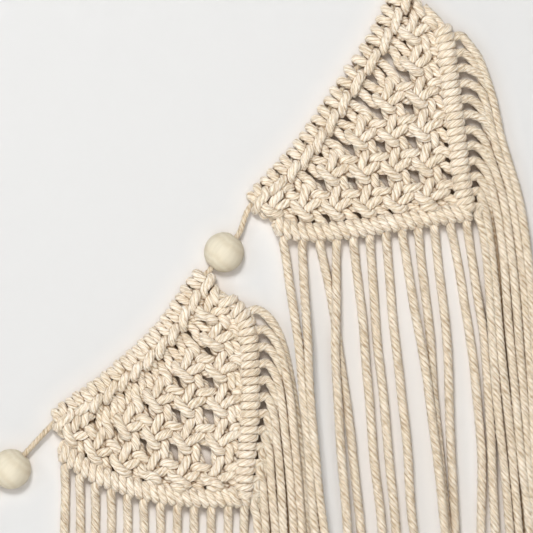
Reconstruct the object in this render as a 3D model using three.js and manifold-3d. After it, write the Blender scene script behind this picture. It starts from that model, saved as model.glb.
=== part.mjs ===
// Macrame garland: two fringed pennants and two wooden beads on one carrier cord.
// Millimetres, +Z up, +X right, the front faces -Y. The origin is where the upper end loop hangs.
import * as THREE from 'three';
import { mergeVertices } from 'three/addons/utils/BufferGeometryUtils.js';
import Module from 'manifold-3d';

// Driving sizes
const CLEARANCE = 0.3;
const BAR_CLEARANCE = 0.45;
const CARRIER_WIDTH = 3;
const BEAD_WIDTH = 20;
const BEAD_BORE = 4.2;
const BEAD_FLAT = 2.6;
const PAIR_WIDTH = 7.2;
const PAIR_DEPTH = 3.6;
const BOTTOM_STRAND = 4;
const SIDE_STRAND = 3.5;
const LARKS_HEADS = 12;
const KNOT_ROWS = 6;
const KNOT_WIDTH = 13.5;
const KNOT_HEIGHT = 12.5;
const KNOT_DEPTH = 10;
const HEAD_WIDTH = 12.2;
const HEAD_DEPTH = 11;
const BAR_WIDTH = 9.4;
const BAR_DEPTH = 9;
const FRINGE_STRANDS = 12;
const FRINGE_DROP = 189.5; // from the lowest square knot to the cut ends
const SIDE_LAYER = 2.3;
const SIDE_PITCH = 1.9;
const LOOP_LENGTH = 13;
const LOOP_WIDTH = 9;
const LOOP_KNOT = 7;

const FRONT = new THREE.Vector3(0, -1, 0);
const COTTON = { color: 0xe0cfb6, roughness: 0.95, metalness: 0 };
const WOOD = { color: 0xe6dcc6, roughness: 0.7, metalness: 0 };

// The carrier's route from the lower end knot to the upper end knot, as x and z.
const CARRIER_ROUTE = [
  [-228, -276.5],
  [-219.5, -267.5],
  [-210.5, -258],
  [-201.5, -248.2],
  [-192, -238],
  [-186, -232],
  [-176, -224.5],
  [-164, -216],
  [-154, -207.5],
  [-143.1, -197.9],
  [-131.7, -185.7],
  [-123.6, -173.8],
  [-117, -164.5],
  [-111.5, -159],
  [-104, -149.6],
  [-96.5, -140.2],
  [-92.2, -128.8],
  [-85, -119.8],
  [-73.4, -107.3],
  [-62.2, -94.1],
  [-50.6, -77.3],
  [-40.2, -61.5],
  [-29.6, -46.3],
  [-21, -30.6],
  [-14.7, -18.4],
  [-7, -10],
];
const LOWER_BEAD_AT = 2;
const UPPER_BEAD_AT = 14;

// Each pennant: the corners and mid-edges of its field of square knots, the stretch of carrier that
// its head knots cover, its hitched bars, and how its fringe falls. All points are x and z.
const PENNANTS = [
  {
    name: 'upper',
    field: {
      left: [-77.8, -124.8],
      topMid: [-42.5, -83],
      right: [-8.2, -37.8],
      sideMid: [-4.3, -77.3],
      tip: [-0.5, -120.3],
      bottomMid: [-39.7, -124],
    },
    head: { from: 16.4, to: 24.2 },
    bottomBar: [
      [-79.7, -134.8],
      [-72, -138.5],
      [-61, -139.7],
      [-45.5, -138.7],
      [-4, -132.5],
      [18.5, -129.3],
    ],
    sideBar: [
      [-4.5, -27],
      [4, -36],
      [6.4, -43],
      [8, -57],
      [12, -89.5],
      [15.5, -119.5],
    ],
    bottomEnds: { first: -56.4, last: 29.5 },
    bottomDrift: [0, -3, -2.5, -3, -0.5, -1, 0.5, 4.5, 1.5, -2, 1.5, 1],
    sideEdge: [
      { z: -36, x: 14 },
      { z: -52, x: 24 },
      { z: -68, x: 30 },
      { z: -95, x: 36.5 },
      { z: -118, x: 44 },
      { z: -142, x: 48 },
      { z: -168, x: 51 },
      { z: -310, x: 58 },
    ],
  },
  {
    name: 'lower',
    field: {
      left: [-178, -238],
      topMid: [-143, -211.5],
      right: [-109.3, -178],
      sideMid: [-103.8, -214],
      tip: [-106.8, -261],
      bottomMid: [-146, -256],
    },
    head: { from: 4.75, to: 12.7 },
    bottomBar: [
      [-183.5, -249.5],
      [-175, -256],
      [-164.8, -261.5],
      [-140, -269.5],
      [-116, -272.3],
      [-93, -271.5],
    ],
    sideBar: [
      [-107, -171.5],
      [-99, -177],
      [-93.5, -183.5],
      [-91.3, -198.5],
      [-91, -228.5],
      [-93.5, -260.5],
    ],
    bottomEnds: { first: -186, last: -93 },
    bottomDrift: [0, 1, 2, -1.5, 0.5, -1, 1.5, 0, -2, 1, -1, 0.5],
    sideEdge: [
      { z: -177, x: -83 },
      { z: -186, x: -76.5 },
      { z: -203.5, x: -70.5 },
      { z: -223.5, x: -66.5 },
      { z: -254.5, x: -63 },
      { z: -290, x: -60.5 },
      { z: -452, x: -58 },
    ],
  },
];

const wasm = await Module();
wasm.setup();

function place([x, z], y = 0) {
  return new THREE.Vector3(x, y, z);
}

function curveThrough(points) {
  return new THREE.CatmullRomCurve3(points, false, 'centripetal');
}

// A closed rod along a curve, made from a cylinder whose rings are moved onto the curve.
// profile(t) swells or narrows it along its length.
function rod(curve, { sides, steps, across, deep, profile = () => 1 }) {
  const geometry = new THREE.CylinderGeometry(1, 1, 1, sides, steps);
  geometry.rotateY(Math.PI / sides);
  const toFlats = 0.5 / Math.cos(Math.PI / sides);
  const positions = geometry.attributes.position;
  const point = new THREE.Vector3();
  for (let i = 0; i < positions.count; i += 1) {
    point.fromBufferAttribute(positions, i);
    const t = 0.5 - point.y;
    const along = curve.getTangentAt(t);
    const side = new THREE.Vector3().crossVectors(FRONT, along).normalize();
    const front = new THREE.Vector3().crossVectors(along, side);
    const size = toFlats * profile(t);
    const moved = curve.getPointAt(t);
    moved.addScaledVector(side, point.x * across * size);
    moved.addScaledVector(front, point.z * deep * size);
    positions.setXYZ(i, moved.x, moved.y, moved.z);
  }
  return solidOf(geometry);
}

function solidOf(geometry) {
  geometry.deleteAttribute('normal');
  geometry.deleteAttribute('uv');
  const merged = mergeVertices(geometry, 1e-4);
  const mesh = new wasm.Mesh({
    numProp: 3,
    vertProperties: new Float32Array(merged.attributes.position.array),
    triVerts: new Uint32Array(merged.index.array),
  });
  return new wasm.Manifold(mesh);
}

function joined(solids) {
  return solids.reduce((sum, solid) => sum.add(solid));
}

function meshOf(name, solid, finish) {
  const { vertProperties, triVerts } = solid.getMesh();
  const geometry = new THREE.BufferGeometry();
  geometry.setAttribute('position', new THREE.BufferAttribute(new Float32Array(vertProperties), 3));
  geometry.setIndex(new THREE.BufferAttribute(new Uint32Array(triVerts), 1));
  geometry.computeVertexNormals();
  const mesh = new THREE.Mesh(geometry, new THREE.MeshStandardMaterial(finish));
  mesh.name = name;
  return mesh;
}

// A ridge for every wrap, with a soft valley between two wraps.
function ridged(wraps, valley) {
  return (t) => 1 - valley * (0.5 + 0.5 * Math.cos(2 * Math.PI * wraps * t));
}

// Carrier cord with a tied loop at each end
const carrierCurve = curveThrough(CARRIER_ROUTE.map((point) => place(point)));
const CARRIER_STEPS = 42;

function carrierRod(grow) {
  const across = CARRIER_WIDTH + 2 * grow;
  return rod(carrierCurve, { sides: 8, steps: CARRIER_STEPS, across, deep: across });
}

function endLoop(end, outward) {
  const aside = new THREE.Vector3().crossVectors(FRONT, outward);
  const at = (far, wide) => end.clone().addScaledVector(outward, far).addScaledVector(aside, wide);
  const half = (LOOP_WIDTH - CARRIER_WIDTH) / 2;
  const ring = new THREE.CatmullRomCurve3([
    at(0, 0),
    at(0.35 * LOOP_LENGTH, -0.7 * half),
    at(0.75 * LOOP_LENGTH, -half),
    at(LOOP_LENGTH, 0),
    at(0.75 * LOOP_LENGTH, half),
    at(0.35 * LOOP_LENGTH, 0.7 * half),
    at(0.01, 0.01),
  ]);
  const cord = rod(ring, { sides: 8, steps: 14, across: CARRIER_WIDTH, deep: CARRIER_WIDTH });
  const body = new THREE.LineCurve3(at(-0.6 * LOOP_KNOT, 0), at(0.6 * LOOP_KNOT, 0));
  const swell = (t) => (0.55 + 0.45 * Math.sin(Math.PI * t)) * ridged(3, 0.14)(t);
  const knot = rod(body, { sides: 8, steps: 6, across: LOOP_KNOT, deep: LOOP_KNOT, profile: swell });
  return joined([knot, cord]);
}

const upperEnd = carrierCurve.getPoint(1);
const lowerEnd = carrierCurve.getPoint(0);
const carrier = joined([
  carrierRod(0),
  endLoop(upperEnd, carrierCurve.getTangent(1)),
  endLoop(lowerEnd, carrierCurve.getTangent(0).negate()),
]);
const carrierRoom = carrierRod(CLEARANCE);

// Turned bead, bored along its axis and threaded on the carrier
function bead(name, routeIndex) {
  const radius = BEAD_WIDTH / 2;
  const bore = BEAD_BORE / 2;
  const start = Math.asin((bore + BEAD_FLAT / 2) / radius);
  const arcSteps = 8;
  const profile = [];
  for (let i = 0; i <= arcSteps; i += 1) {
    const angle = start + ((Math.PI - 2 * start) * i) / arcSteps;
    profile.push(new THREE.Vector2(radius * Math.sin(angle), -radius * Math.cos(angle)));
  }
  const faceHeight = radius * Math.cos(start);
  profile.push(new THREE.Vector2(bore, faceHeight));
  profile.push(new THREE.Vector2(bore, -faceHeight));
  profile.push(profile[0].clone());
  const mesh = new THREE.Mesh(new THREE.LatheGeometry(profile, 16), new THREE.MeshStandardMaterial(WOOD));
  const t = routeIndex / (CARRIER_ROUTE.length - 1);
  mesh.name = name;
  mesh.position.copy(carrierCurve.getPoint(t));
  mesh.quaternion.setFromUnitVectors(new THREE.Vector3(0, 1, 0), carrierCurve.getTangent(t));
  return mesh;
}

// The place of knot m in row k: a curved triangle through the field's corners and mid-edges.
function knotPlace({ left, topMid, right, sideMid, tip, bottomMid }, row, m) {
  const w = row / (KNOT_ROWS - 1);
  const v = m / (KNOT_ROWS - 1);
  const u = 1 - w - v;
  const blend = (i) => u * (2 * u - 1) * left[i] + v * (2 * v - 1) * right[i] + w * (2 * w - 1) * tip[i]
    + 4 * u * v * topMid[i] + 4 * v * w * sideMid[i] + 4 * w * u * bottomMid[i];
  return place([blend(0), blend(1)]);
}

// The first row of square knots is tied at the two corners only.
function isTied(row, m) {
  return row > 0 || m === 0 || m === KNOT_ROWS - 1;
}

// Two strands side by side
function pair(from, to) {
  const line = new THREE.LineCurve3(from, to);
  return rod(line, { sides: 4, steps: 1, across: PAIR_WIDTH, deep: PAIR_DEPTH });
}

function squareKnot(centre, axis) {
  const half = axis.clone().multiplyScalar(KNOT_HEIGHT / 2);
  const line = new THREE.LineCurve3(centre.clone().sub(half), centre.clone().add(half));
  const swell = (t) => (0.66 + 0.48 * Math.sin(Math.PI * t)) * ridged(2, 0.2)(t);
  return rod(line, { sides: 6, steps: 4, across: KNOT_WIDTH, deep: KNOT_DEPTH, profile: swell });
}

// The stretch of carrier that a pennant's head knots cover, as a curve of its own.
function headCurve({ from, to }) {
  const points = [];
  for (let i = 0; i <= LARKS_HEADS; i += 1) {
    const t = (from + ((to - from) * i) / LARKS_HEADS) / (CARRIER_ROUTE.length - 1);
    points.push(carrierCurve.getPoint(t));
  }
  return curveThrough(points);
}

// A bar of wraps, or the room that it takes with some clearance all round.
function barRod(points, grow) {
  const path = points.map((point) => place(point));
  const before = path[0].clone().sub(path[1]).setLength(grow);
  const after = path.at(-1).clone().sub(path.at(-2)).setLength(grow);
  path[0].add(before);
  path.at(-1).add(after);
  const curve = curveThrough(path);
  const across = BAR_WIDTH + 2 * grow;
  const deep = BAR_DEPTH + 2 * grow;
  const steps = 2 * FRINGE_STRANDS;
  return rod(curve, { sides: 6, steps, across, deep, profile: ridged(FRINGE_STRANDS, 0.16) });
}

function nearestOn(curve, point) {
  const samples = curve.getSpacedPoints(60).slice(5, -5);
  return samples.reduce((best, p) => (p.distanceTo(point) < best.distanceTo(point) ? p : best));
}

// Net: head knots round the carrier, strands down to the square knots, and pairs from knot to knot
function net(pennant) {
  const { field, head, bottomBar, sideBar } = pennant;
  const knot = (row, m) => knotPlace(field, row, m);
  const last = KNOT_ROWS - 1;
  const across = knot(0, last).sub(knot(0, 0)).normalize();
  const axis = new THREE.Vector3().crossVectors(across, FRONT).normalize();
  if (axis.dot(knot(last, 0).sub(knot(0, 0))) < 0) {
    axis.negate();
  }
  const bottomCurve = curveThrough(bottomBar.map((point) => place(point)));
  const sideCurve = curveThrough(sideBar.map((point) => place(point)));
  const heads = headCurve(head);
  const pieces = [
    rod(heads, {
      sides: 6,
      steps: 2 * LARKS_HEADS,
      across: HEAD_WIDTH,
      deep: HEAD_DEPTH,
      profile: ridged(LARKS_HEADS, 0.16),
    }),
  ];
  for (let i = 0; i < LARKS_HEADS; i += 1) {
    const atCorner = i < 2 || i >= LARKS_HEADS - 2;
    const row = atCorner ? 0 : 1;
    const m = Math.floor((i - row) / 2);
    const isRightPair = (i - row) % 2 === 1;
    const foot = knot(row, m).addScaledVector(across, isRightPair ? PAIR_WIDTH / 2 : -PAIR_WIDTH / 2);
    pieces.push(pair(heads.getPointAt((i + 0.5) / LARKS_HEADS), foot));
  }
  for (let row = 0; row < KNOT_ROWS; row += 1) {
    for (let m = 0; m < KNOT_ROWS - row; m += 1) {
      if (!isTied(row, m)) {
        continue;
      }
      const centre = knot(row, m);
      pieces.push(squareKnot(centre, axis));
      const isLast = row === last;
      const lowerLeft = m > 0 && !isLast ? knot(row + 1, m - 1) : nearestOn(bottomCurve, centre);
      const lowerRight = m < last - row && !isLast ? knot(row + 1, m) : nearestOn(sideCurve, centre);
      pieces.push(pair(centre, lowerLeft));
      pieces.push(pair(centre, lowerRight));
    }
  }
  return joined(pieces)
    .subtract(carrierRoom)
    .subtract(barRod(bottomBar, BAR_CLEARANCE))
    .subtract(barRod(sideBar, BAR_CLEARANCE));
}

// Fringe: a hitched bar with its strands, whose roots run into the bar
function bottomFringe({ bottomBar, bottomEnds, bottomDrift, field }) {
  const curve = curveThrough(bottomBar.map((point) => place(point)));
  const endZ = field.tip[1] - FRINGE_DROP;
  const pieces = [barRod(bottomBar, 0)];
  for (let i = 0; i < FRINGE_STRANDS; i += 1) {
    const share = i / (FRINGE_STRANDS - 1);
    const root = curve.getPointAt(0.06 + 0.92 * share);
    const endX = bottomEnds.first + (bottomEnds.last - bottomEnds.first) * share + bottomDrift[i];
    const at = (t) => place([
      root.x + (endX - root.x) * (1 - (1 - t) ** 1.5),
      root.z + (endZ - root.z) * t,
    ]);
    const strand = curveThrough([at(0), at(0.12), at(0.3), at(0.6), at(1)]);
    pieces.push(rod(strand, { sides: 4, steps: 7, across: BOTTOM_STRAND, deep: BOTTOM_STRAND }));
  }
  return joined(pieces);
}

function edgeAt(edge, z) {
  const next = Math.max(1, edge.findIndex((row) => row.z <= z));
  const low = edge[next];
  const high = edge[next - 1];
  const share = THREE.MathUtils.clamp((high.z - z) / (high.z - low.z), 0, 1);
  return high.x + (low.x - high.x) * share;
}

// The side strands leave the bar sideways and fall in two layers, the upper ones outermost.
function sideFringe({ sideBar, sideEdge, field }) {
  const curve = curveThrough(sideBar.map((point) => place(point)));
  const endZ = field.tip[1] - FRINGE_DROP;
  const pieces = [barRod(sideBar, 0)];
  for (let i = 0; i < FRINGE_STRANDS; i += 1) {
    const root = curve.getPointAt(0.17 + (0.81 * i) / (FRINGE_STRANDS - 1));
    const y = i % 2 === 0 ? -SIDE_LAYER : SIDE_LAYER;
    const bent = (fall) => {
      const z = root.z - fall;
      const x = edgeAt(sideEdge, z) - SIDE_STRAND / 2 - i * SIDE_PITCH;
      return place([x, z], y);
    };
    const points = [root, place([root.x + BAR_WIDTH / 2 + 1, root.z - 1.5], 0.8 * y)];
    const falls = [12, 26, 45, 75];
    falls.forEach((fall) => points.push(bent(fall)));
    points.push(bent(0.6 * (root.z - endZ) + 30));
    points.push(bent(root.z - endZ));
    const strand = curveThrough(points);
    pieces.push(rod(strand, { sides: 4, steps: 12, across: SIDE_STRAND, deep: SIDE_STRAND }));
  }
  return joined(pieces);
}

const garland = new THREE.Group();
garland.add(meshOf('carrier_cord', carrier, COTTON));
garland.add(bead('bead_upper', UPPER_BEAD_AT));
garland.add(bead('bead_lower', LOWER_BEAD_AT));
PENNANTS.forEach((pennant) => {
  const { name } = pennant;
  garland.add(meshOf(`pennant_${name}_net`, net(pennant), COTTON));
  garland.add(meshOf(`pennant_${name}_bottom_fringe`, bottomFringe(pennant), COTTON));
  garland.add(meshOf(`pennant_${name}_side_fringe`, sideFringe(pennant), COTTON));
});

export default garland;
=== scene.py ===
import itertools
import math

import bpy
import numpy as np
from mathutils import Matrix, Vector
from mathutils.kdtree import KDTree


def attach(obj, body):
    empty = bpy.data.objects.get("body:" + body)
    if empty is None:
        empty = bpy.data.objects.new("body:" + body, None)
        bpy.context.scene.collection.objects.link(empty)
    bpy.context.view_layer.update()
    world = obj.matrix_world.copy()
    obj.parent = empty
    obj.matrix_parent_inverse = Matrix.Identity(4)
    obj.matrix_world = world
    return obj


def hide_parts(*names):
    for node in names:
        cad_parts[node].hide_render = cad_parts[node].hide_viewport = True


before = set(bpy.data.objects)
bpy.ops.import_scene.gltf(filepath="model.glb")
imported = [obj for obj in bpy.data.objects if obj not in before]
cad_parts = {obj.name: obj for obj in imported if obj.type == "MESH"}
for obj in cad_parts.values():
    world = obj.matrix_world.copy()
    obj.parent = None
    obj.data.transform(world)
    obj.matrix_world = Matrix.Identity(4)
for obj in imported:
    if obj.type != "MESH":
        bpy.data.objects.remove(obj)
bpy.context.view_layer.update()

# Camera, wall, floor and light
# The garland hangs against a pale wall, with shade and bounced light painted into the wall close
# to it, and is seen face on. A lamp above it on the left gives the shadows, a window at the left
# and a warm soft box in front fill them, and a weak light behind, which the wall lets through,
# shows the back.
PIXELS_PER_METRE = 2000
FRAME_PIXELS = 533
ORIGIN_PIXEL = (432, -47)
CAMERA_DISTANCE = 1.5
CAMERA_SENSOR = 0.036
MILLIMETRES = 1000
WALL_Y = 0.0045
WALL_SIDE = 2.5
WALL_TOP = 2
FLOOR_Z = -0.62
FLOOR_SIDE = 4
WALL_COLOUR = (0.6, 0.6, 0.6, 1)
FLOOR_COLOUR = (0.86, 0.86, 0.85, 1)
# Painted shade on the wall and floor: how far it reaches, and the dark brown of the deepest nooks.
STAGE_SHADE_REACH = 0.012
STAGE_PAINTED_SHADE = (0.1, 0.055, 0.022, 1)
# How open a spot on the wall is, and its painted colour there: brown painted shade in the nooks,
# then painted bounced light paler than the wall, fading back to the wall's own grey.
STAGE_PAINTED_BOUNCE_AND_SHADE = [
    (0.1, (0.27, 0.18, 0.105, 1)),
    (0.2, (0.77, 0.71, 0.655, 1)),
    (0.5, (0.7, 0.665, 0.635, 1)),
    (0.8, (0.64, 0.63, 0.62, 1)),
]
COOL_WHITE = (0.98, 0.995, 1)
WARM_WHITE = (1, 0.95, 0.9)
ROOM_COLOUR = (1, 0.92, 0.85, 1)
ROOM_STRENGTH = 0.1


def at_pixel(x, y):
    """The place on the carrier's plane that this pixel of the picture shows."""
    across, down = ORIGIN_PIXEL
    return Vector(((x - across) / PIXELS_PER_METRE, 0, (down - y) / PIXELS_PER_METRE))


view_centre = at_pixel(FRAME_PIXELS / 2, FRAME_PIXELS / 2)
camera = bpy.data.objects.new("camera", bpy.data.cameras.new("camera"))
camera.location = view_centre - Vector((0, CAMERA_DISTANCE, 0))
camera.rotation_euler = (math.radians(90), 0, 0)
camera.data.sensor_width = MILLIMETRES * CAMERA_SENSOR
camera.data.lens = MILLIMETRES * CAMERA_SENSOR * CAMERA_DISTANCE * PIXELS_PER_METRE / FRAME_PIXELS
bpy.context.collection.objects.link(camera)
bpy.context.scene.camera = camera
bpy.context.scene.view_settings.view_transform = "Standard"


def add_node(tree, kind, sockets=None, **settings):
    """A new node in the tree, with its settings made and its sockets linked or filled in."""
    made = tree.nodes.new(kind)
    for name, value in settings.items():
        setattr(made, name, value)
    for name, value in (sockets or {}).items():
        if isinstance(value, bpy.types.NodeSocket):
            tree.links.new(value, made.inputs[name])
        else:
            made.inputs[name].default_value = value
    return made


def stage_sheet(name, corners, colour, clear_from_behind=False):
    """A flat sheet, painted brown as shade in nooks near things and paler as bounced light round them.
    """
    mesh = bpy.data.meshes.new(name)
    mesh.from_pydata(corners, [], [(0, 1, 2, 3)])
    material = bpy.data.materials.new(name)
    material.use_nodes = True
    tree = material.node_tree
    paint = tree.nodes["Principled BSDF"]
    open_air = add_node(tree, "ShaderNodeAmbientOcclusion", {"Distance": STAGE_SHADE_REACH})
    # The sheet's colour is painted shade and painted bounced light, set by how open each spot is.
    tone = add_node(tree, "ShaderNodeValToRGB", {"Fac": open_air.outputs["AO"]})
    stops = tone.color_ramp.elements
    stops[0].color = STAGE_PAINTED_SHADE
    stops[1].color = colour
    for share, shade in STAGE_PAINTED_BOUNCE_AND_SHADE:
        stops.new(share).color = shade
    tree.links.new(tone.outputs["Color"], paint.inputs["Base Color"])
    paint.inputs["Roughness"].default_value = 0.9
    paint.inputs["Specular IOR Level"].default_value = 0.2
    if clear_from_behind:
        side = add_node(tree, "ShaderNodeNewGeometry")
        clear = add_node(tree, "ShaderNodeBsdfTransparent")
        mix = add_node(tree, "ShaderNodeMixShader", {"Fac": side.outputs["Backfacing"]})
        tree.links.new(paint.outputs["BSDF"], mix.inputs[1])
        tree.links.new(clear.outputs["BSDF"], mix.inputs[2])
        tree.links.new(mix.outputs["Shader"], tree.nodes["Material Output"].inputs["Surface"])
    mesh.materials.append(material)
    sheet = bpy.data.objects.new(name, mesh)
    bpy.context.collection.objects.link(sheet)
    return sheet


wall = stage_sheet(
    "wall",
    [
        (-WALL_SIDE, WALL_Y, FLOOR_Z),
        (WALL_SIDE, WALL_Y, FLOOR_Z),
        (WALL_SIDE, WALL_Y, WALL_TOP),
        (-WALL_SIDE, WALL_Y, WALL_TOP),
    ],
    WALL_COLOUR,
    clear_from_behind=True,
)
stage_sheet(
    "floor",
    [
        (-FLOOR_SIDE, -FLOOR_SIDE, FLOOR_Z),
        (FLOOR_SIDE, -FLOOR_SIDE, FLOOR_Z),
        (FLOOR_SIDE, FLOOR_SIDE, FLOOR_Z),
        (-FLOOR_SIDE, FLOOR_SIDE, FLOOR_Z),
    ],
    FLOOR_COLOUR,
)


def area_light(name, place, size, watts, colour):
    """A square light of this size that faces the middle of the view."""
    lamp = bpy.data.lights.new(name, "AREA")
    lamp.energy = watts
    lamp.size = size
    lamp.color = colour
    holder = bpy.data.objects.new(name, lamp)
    holder.location = place
    holder.rotation_euler = (view_centre - Vector(place)).to_track_quat("-Z", "Y").to_euler()
    bpy.context.collection.objects.link(holder)
    return holder


area_light("lamp above", (-0.34, -1.56, 0.56), size=0.4, watts=21.5, colour=COOL_WHITE)
area_light("window light", (-1.41, -1.37, 0.27), size=0.7, watts=7, colour=COOL_WHITE)
area_light("soft box", (0.05, -1.6, -0.2), size=1.2, watts=8.8, colour=WARM_WHITE)
back_light = area_light("light behind", (-0.1, 1.5, 0), size=0.8, watts=3, colour=(1, 1, 1))
let_through = bpy.data.collections.new("lets the light behind through")
let_through.objects.link(wall)
let_through.collection_objects[0].light_linking.link_state = "EXCLUDE"
back_light.light_linking.blocker_collection = let_through
world = bpy.data.worlds.new("room")
world.use_nodes = True
room_light = world.node_tree.nodes["Background"].inputs
room_light["Color"].default_value = ROOM_COLOUR
room_light["Strength"].default_value = ROOM_STRENGTH
bpy.context.scene.world = world

# Carrier cord
# One length of thin twisted cotton carries both pennants and both beads. Each end is tied back on
# itself with an overhand knot, which leaves a small loop for a hook.
CARRIER_WIDTH = 0.003
CARRIER_PLIES = 3
CARRIER_TWIST = 0.0078
CARRIER_STEP = 0.0006
CARRIER_PALE = (0.78, 0.69, 0.56, 1)
CARRIER_DARK = (0.42, 0.32, 0.21, 1)
CARRIER_ROUTE = [
    (-0.228, -0.2765),
    (-0.2195, -0.2675),
    (-0.2105, -0.258),
    (-0.2015, -0.2482),
    (-0.192, -0.238),
    (-0.186, -0.232),
    (-0.176, -0.2245),
    (-0.164, -0.216),
    (-0.154, -0.2075),
    (-0.1431, -0.1979),
    (-0.1317, -0.1857),
    (-0.1236, -0.1738),
    (-0.117, -0.1645),
    (-0.1115, -0.159),
    (-0.104, -0.1496),
    (-0.0965, -0.1402),
    (-0.0922, -0.1288),
    (-0.085, -0.1198),
    (-0.0734, -0.1073),
    (-0.0622, -0.0941),
    (-0.0506, -0.0773),
    (-0.0402, -0.0615),
    (-0.0296, -0.0463),
    (-0.021, -0.0306),
    (-0.0147, -0.0184),
    (-0.007, -0.01),
]
# The lumps and tufts of a cord, the rays that find its nooks, and the make-up of its cotton, with
# the painted shade of its grooves, its nooks and where it touches itself.
LUMP_SCALE = 160.0
LEAST_SWELL = 0.92
MORE_SWELL = 0.16
TUFT_SCALE = 620.0
NOOK_RAY = 0.005
NOOK_RAY_START = 0.0004
NOOK_RAY_SPREAD = 0.55
CONTACT_REACH = 0.004
FINE_SHARE = 0.65
FRAY = 1.6
YARNS_TO_A_PLY = 3
PATCH_SCALE = 90.0
GROOVE_PAINTED_SHADE = (0.8, 0.7, 0.56, 1)
YARN_STAIN = (0.9, 0.83, 0.72, 1)
PATCH_STAIN = (0.95, 0.93, 0.89, 1)
CONTACT_PAINTED_SHADE = (0.48, 0.37, 0.25, 1)
NOOK_PAINTED_SHADE = (0.7, 0.57, 0.41, 1)
FRONT = np.array((0.0, -1.0, 0.0))
ROUTE_CUTS = 16


def in_plane(points, depth=0.0):
    """Points given as x and z, all at one depth."""
    return np.array([(x, depth, z) for x, z in points])


def evenly(points, step):
    """The same line again with its points about one step apart."""
    lengths = np.linalg.norm(np.diff(points, axis=0), axis=1)
    along = np.concatenate([[0], np.cumsum(lengths)])
    marks = np.linspace(0, along[-1], max(2, round(along[-1] / step) + 1))
    return np.stack([np.interp(marks, along, points[:, axis]) for axis in range(3)], axis=1)


def smooth_route(points, step):
    """A smooth line through the points, rounding each corner by how far apart they are."""
    points = np.asarray(points, float)
    padded = np.vstack([2 * points[0] - points[1], points, 2 * points[-1] - points[-2]])
    pieces = []
    for four in zip(padded, padded[1:], padded[2:], padded[3:]):
        spans = np.linalg.norm(np.diff(four, axis=0), axis=1) ** 0.5
        knots = np.concatenate([[0], np.cumsum(np.maximum(spans, 1e-6))])
        mark = np.linspace(knots[1], knots[2], ROUTE_CUTS, endpoint=False)[:, None]
        level = [np.broadcast_to(point, (ROUTE_CUTS, 3)) for point in four]
        for width in (1, 2):
            level = [
                ((high - mark) * one + (mark - low) * two) / (high - low)
                for one, two, low, high in zip(level, level[1:], knots, knots[width:])
            ]
        share = (mark - knots[1]) / (knots[2] - knots[1])
        pieces.append((1 - share) * level[0] + share * level[1])
    return evenly(np.vstack(pieces + [points[-1:]]), step)


def sums_in(tree):
    """A function that adds a sum to a node tree and gives the socket with its result."""

    def worked(operation, *values):
        sockets = dict(enumerate(values))
        return add_node(tree, "ShaderNodeMath", sockets, operation=operation).outputs["Value"]

    return worked


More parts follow.
